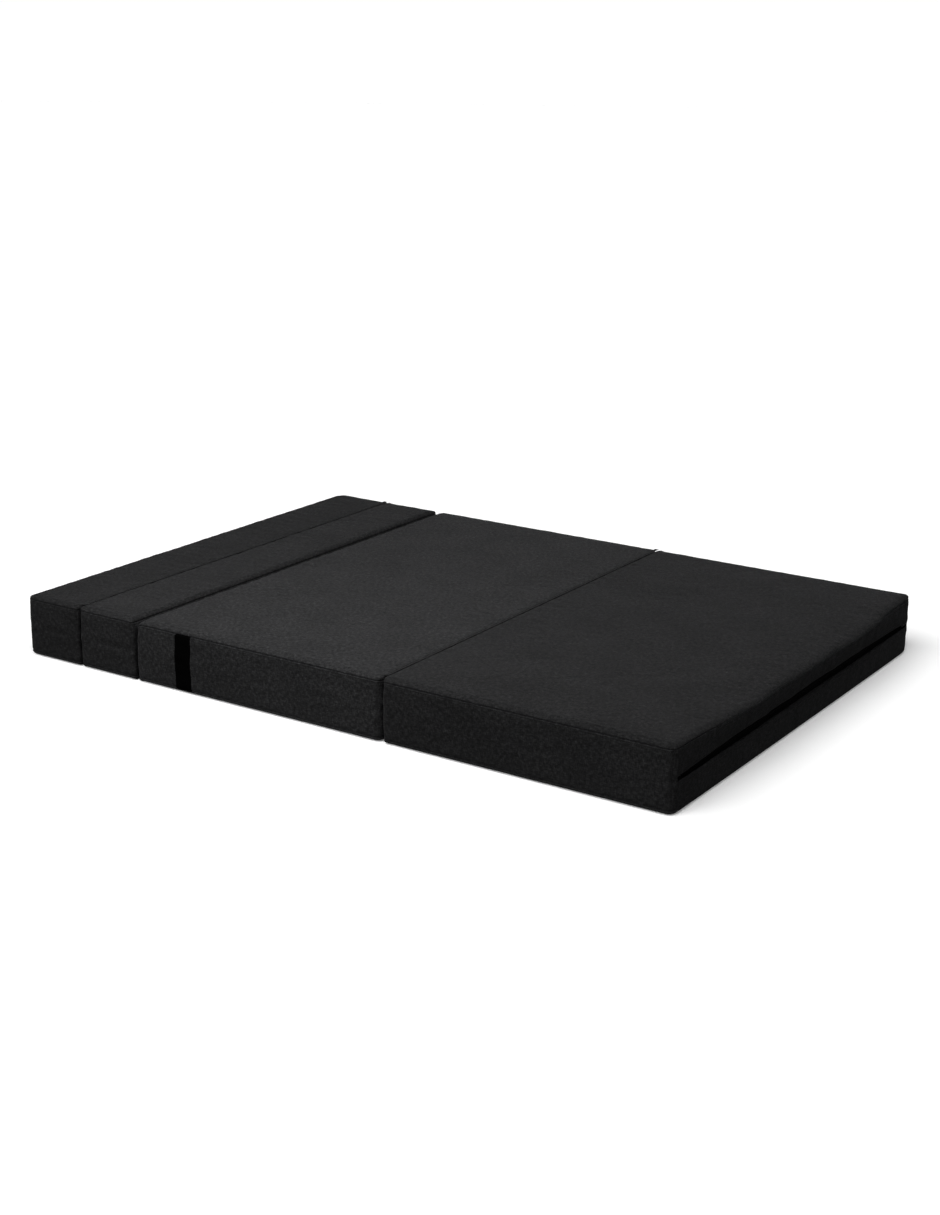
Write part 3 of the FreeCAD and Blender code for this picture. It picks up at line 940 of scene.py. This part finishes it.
def make_cushion(cushion, swelling, fabric, tape_and_slot_shade):
    lattice = cushion.cage_lattice()
    points = cushion.sewn(lattice, swelling.at(lattice))
    cushion.cage = lattice, points
    cage = lattice.mesh(cushion.name + "_cover", points, cushion)
    # The faces in the slot take the zip tapes' near-black material: the real tapes in the channel,
    # and painted shade on the lips' turned-in edges so that the slit reads black.
    inside = cushion.in_slot(lattice)
    for face in cage.polygons:
        face.material_index = int(inside[list(face.vertices)].all())
    obj = link(bpy.data.objects.new(cushion.name + "_cover", cage))
    smooth = obj.modifiers.new("smooth", "SUBSURF")
    smooth.levels = smooth.render_levels = 1
    apply_modifiers(obj)
    bpy.data.meshes.remove(cage)
    obj.data.name = obj.name
    obj.data.materials.clear()
    obj.data.materials.append(fabric)
    obj.data.materials.append(tape_and_slot_shade)
    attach(obj, cushion.name)
    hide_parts(*[cushion.name + "_" + node for node in COVERED])
    return obj


def make_cushions(tape_and_slot_shade):
    plans = (
        ("outer_bolster", 11, 30 * MM, 11 * MM, (SOFT_EDGE, TIGHT_EDGE), [(1, 1)], "left", [1]),
        (
            "inner_bolster", 23, 11 * MM, 10 * MM, (TIGHT_EDGE, TIGHT_EDGE),
            [(-1, 1), (1, -1)], "back", [-1, 1],
        ),
        (
            "middle_cushion", 37, 24 * MM, 20 * MM, (TIGHT_EDGE, SOFT_EDGE),
            [(-1, -1), (1, 1)], "back", [-1, 1],
        ),
        (
            "end_cushion", 51, 16 * MM, 20 * MM, (TIGHT_EDGE, SOFT_EDGE),
            [(-1, 1)], "right", [-1], 14 * MM,
        ),
    )
    cushions = [Cushion(*plan) for plan in plans]
    made = {}
    for cushion, swelling in zip(cushions, simulate(cushions)):
        fabric = cover_fabric(cushion.name, PAINTED_LIGHT[cushion.name])
        made[cushion.name] = make_cushion(cushion, swelling, fabric, tape_and_slot_shade)
    return cushions, made


# Sewing thread, strap and hinges

def follow(points, pitch, closed):
    """Evenly spaced places along a line of points, and the line's direction at each."""
    points = np.asarray(points)
    if closed:
        points = np.concatenate([points, points[:1]])
    steps = np.linalg.norm(np.diff(points, axis=0), axis=1)
    run = np.concatenate([[0], np.cumsum(steps)])
    count = int(run[-1] / pitch)
    places = (np.arange(count) + 0.5) * run[-1] / count
    found = np.stack([np.interp(places, run, points[:, a]) for a in range(3)], 1)
    further = np.stack([np.interp(places + pitch / 4, run, points[:, a]) for a in range(3)], 1)
    ahead = further - found
    return found, ahead / np.linalg.norm(ahead, axis=1)[:, None]


def tube(first, sides):
    """Faces between the ring of points that starts at first and the next ring."""
    return [
        (first + k, first + (k + 1) % sides, first + sides + (k + 1) % sides, first + sides + k)
        for k in range(sides)
    ]


def stitch_shape():
    """One stitch along +X, bowed over the cloth along +Z: its points, side faces and end faces."""
    turns = 2 * math.pi * np.arange(STITCH_SIDES) / STITCH_SIDES
    rings = [
        np.stack([place + 0 * turns, size * np.cos(turns), size * np.sin(turns) + rise], 1)
        for place, size, rise in STITCH_RINGS
    ]
    points = np.concatenate(rings) * (STITCH_LENGTH / 2, THREAD_RADIUS, THREAD_RADIUS)
    last = len(points) - STITCH_SIDES
    quads = []
    for first in range(0, last, STITCH_SIDES):
        quads += tube(first, STITCH_SIDES)
    ends = [tuple(range(STITCH_SIDES))[::-1], tuple(range(last, len(points)))]
    return points, quads, ends


def add_stitches(lines, cover, body, name, material):
    """A row of stitches along each line, on the cover's surface."""
    tree = surface_tree(cover)
    shape, quads, ends = stitch_shape()
    points, faces = [], []
    for line, closed in lines:
        for place, ahead in zip(*follow(line, STITCH_PITCH, closed)):
            nearest, normal, _, _ = tree.find_nearest(Vector(place))
            out = np.array(normal)
            ahead = ahead - out * (ahead @ out)
            ahead /= np.linalg.norm(ahead)
            turn = np.stack([ahead, np.cross(out, ahead), out])
            first = len(points) * len(shape)
            points.append(shape @ turn + np.array(nearest) + out * THREAD_RADIUS * 0.4)
            faces += [tuple(first + k for k in face) for face in quads + ends]
    mesh = bpy.data.meshes.new(name)
    mesh.from_pydata(np.concatenate(points).tolist(), [], faces)
    shade_smooth(mesh)
    mesh.materials.append(material)
    obj = link(bpy.data.objects.new(name, mesh))
    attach(obj, body)
    return obj


def sew_covers(cushions, covers, thread):
    for cushion in cushions:
        lattice, points = cushion.cage
        rows = [
            (points[lattice.ring(cushion.seam - TOPSTITCH_DROP)], True),
            (points[lattice.ring(cushion.bottom_seam)], True),
        ]
        place, _ = cushion.along_slot(lattice)
        for side in (-1, 1):
            level = cushion.zip_level + side * SLOT_SURROUND
            keep = np.abs(lattice.points[:, 2] - level) < 0.05 * MM
            keep &= cushion.on_zip_face(lattice)
            keep &= place > cushion.slot[0] - SLOT_STITCH_RUN
            keep &= place < cushion.slot[1] + SLOT_STITCH_RUN
            row = np.flatnonzero(keep)
            rows.append((points[row[np.argsort(place[row])]], False))
        add_stitches(rows, covers[cushion.name], cushion.name, cushion.name + "_stitching", thread)


def grid_mesh(name, points, places, thick):
    """A sheet of quads through a grid of points, with a back and edges if it is thick."""
    rows, columns = points.shape[:2]
    mesh = bpy.data.meshes.new(name)
    quads = []
    for i in range(rows - 1):
        for j in range(columns - 1):
            k = i * columns + j
            quads.append((k, k + 1, k + columns + 1, k + columns))
    mesh.from_pydata(points.reshape(-1, 3).tolist(), [], quads)
    uv = mesh.uv_layers.new(name="cloth")
    corners = np.array(quads).ravel()
    uv.data.foreach_set("uv", places.reshape(-1, 2)[corners].ravel())
    shade_smooth(mesh)
    obj = link(bpy.data.objects.new(name, mesh))
    if thick:
        solid = obj.modifiers.new("thick", "SOLIDIFY")
        solid.thickness = thick
        solid.offset = -1
        apply_modifiers(obj)
    return obj


def make_strap(cover, material):
    """Webbing over the front of the middle cushion, from its bottom edge to the boxing seam."""
    low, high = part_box("side_strap")
    tree = surface_tree(cover)
    width, tall = high.x - low.x, high.z - low.z
    points = np.empty((STRAP_ROWS, STRAP_COLUMNS, 3))
    places = np.empty((STRAP_ROWS, STRAP_COLUMNS, 2))
    for i, v in enumerate(np.linspace(0, 1, STRAP_ROWS)):
        for j, u in enumerate(np.linspace(0, 1, STRAP_COLUMNS)):
            to_side = max(0.0, 1 - u * width / STRAP_CORNER)
            to_top = max(0.0, 1 - (1 - v) * tall / STRAP_CORNER)
            x = low.x + width * (u + STRAP_SNAKE * math.sin(7 * v + 1))
            z = low.z + tall * v - STRAP_CORNER_DROP * (to_side * to_top) ** 2
            hit, _, _, _ = tree.ray_cast(Vector((x, low.y - 0.05, z)), Vector((0, 1, 0)))
            edge = min(u, 1 - u) * width
            tuck = max(0.0, 1 - min(v, 1 - v) * tall / STRAP_TUCK)
            puff = STRAP_THICKNESS * (1 - 0.5 * math.exp(-edge / STRAP_EDGE))
            puff -= STRAP_TUCK_DEPTH * tuck**2
            puff += STRAP_WAVE * math.sin(math.pi * v) * math.sin(11 * v)
            points[i, j] = x, hit.y - puff, z
            places[i, j] = u * width, v * tall
    strap = grid_mesh("webbing_strap", points, places, STRAP_THICKNESS)
    strap.data.materials.append(material)
    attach(strap, "middle_cushion")
    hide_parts("side_strap")


def make_hinge(node, sag, material):
    """A strip of the cover's cloth that turns down into the gap and is sewn under both edges."""
    low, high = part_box(node)
    x = np.linspace(low.x - HINGE_TUCK, high.x + HINGE_TUCK, HINGE_COLUMNS)
    y = np.linspace(low.y, high.y, HINGE_ROWS)
    middle = (low.x + high.x) / 2
    u = np.clip(np.abs(x - middle) / (high.x - low.x) * 2, 0, 1)
    dip = sag * (1 + np.cos(math.pi * u)) / 2
    level = high.z if sag > 0 else low.z
    waves = ripple(HINGE_SEED, *HINGE_WAVE_LENGTHS)(y) * HINGE_WAVE
    points = np.empty((len(y), len(x), 3))
    points[..., 0] = x
    points[..., 1] = y[:, None]
    points[..., 2] = level - dip + waves[:, None] * (dip / sag)
    run = np.concatenate([[0], np.cumsum(np.hypot(np.diff(x), np.diff(dip)))])
    places = np.stack(np.broadcast_arrays(run[None, :], y[:, None]), 2)
    strip = grid_mesh(node.replace("hinge_strip", "fabric_hinge"), points, places, 0)
    strip.data.materials.append(material)
    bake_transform(strip)
    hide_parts(node)


def make_coil(cushion, material):
    """The closed chain: two rows of nylon loops that mesh along the slot's middle."""
    low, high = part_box(cushion.name + "_zip_coil")
    across, along = cushion.zip_axis, 1 - cushion.zip_axis
    start, end = low[along], high[along]
    depth = (low[across] + high[across]) / 2
    half_thick = (high[across] - low[across]) / 2
    half_wide = (high.z - low.z) / 2
    turns = 2 * math.pi * np.arange(COIL_SIDES) / COIL_SIDES
    count = int((end - start) / COIL_PITCH)
    points, faces = [], []
    for k in range(count):
        place = start + (k + 0.5) * (end - start) / count
        side = 1 if k % 2 else -1
        first = COIL_SIDES * len(points)
        for reach, size in COIL_RINGS:
            ring = np.empty((COIL_SIDES, 3))
            ring[:, along] = place + COIL_FILL * COIL_PITCH * size * np.cos(turns)
            ring[:, across] = depth + half_thick * size * np.sin(turns)
            ring[:, 2] = cushion.zip_level + side * half_wide * reach
            points.append(ring)
        last = COIL_SIDES * len(points)
        for ring_start in range(first, last - COIL_SIDES, COIL_SIDES):
            faces += tube(ring_start, COIL_SIDES)
        faces.append(tuple(range(first, first + COIL_SIDES)))
        faces.append(tuple(range(last - COIL_SIDES, last))[::-1])
    mesh = bpy.data.meshes.new(cushion.name + "_zip_chain")
    mesh.from_pydata(np.concatenate(points).tolist(), [], faces)
    bm = bmesh.new()
    bm.from_mesh(mesh)
    bmesh.ops.recalc_face_normals(bm, faces=bm.faces)
    bm.to_mesh(mesh)
    bm.free()
    shade_smooth(mesh)
    mesh.materials.append(material)
    chain = link(bpy.data.objects.new(mesh.name, mesh))
    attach(chain, cushion.name)
    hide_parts(cushion.name + "_zip_coil")


def dress_zips(cushions, tape_and_slot_shade):
    coil = grained("zip_coil", 0.0007, 0.0022, 900, 0.55, 0.05)
    metal = grained("zip_metal", 0.016, 0.035, 700, 0.38, 0.5, metallic=0.85)
    for cushion in cushions:
        make_coil(cushion, coil)
        for piece, material in (
            ("zip_tapes", tape_and_slot_shade), ("zip_stops", metal), ("zip_slider", metal), ("zip_pull", metal)
        ):
            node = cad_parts[cushion.name + "_" + piece]
            node.data.materials.clear()
            node.data.materials.append(material)


def main():
    make_camera()
    make_stage()
    make_light()
    # Near-black material of the zip tapes, darker than the cloth. It is also laid on each cover in
    # the slot as painted shade.
    tape_and_slot_shade = grained("zip_tape", 0.0006, 0.0022, 1400, 0.85, 0.03)
    cushions, covers = make_cushions(tape_and_slot_shade)
    sew_covers(cushions, covers, thread())
    make_strap(covers["middle_cushion"], webbing())
    # The hinge cloth takes the inner bolster's painted light.
    hinge_cloth = cover_fabric("hinge", PAINTED_LIGHT["inner_bolster"])
    for fold, left, right, sag in (
        ("bolster", "outer_bolster", "inner_bolster", HINGE_SAG),
        ("backrest", "inner_bolster", "middle_cushion", -HINGE_SAG),
        ("seat", "middle_cushion", "end_cushion", HINGE_SAG),
    ):
        make_hinge(fold + "_hinge_strip", sag, hinge_cloth)
    dress_zips(cushions, tape_and_slot_shade)


main()
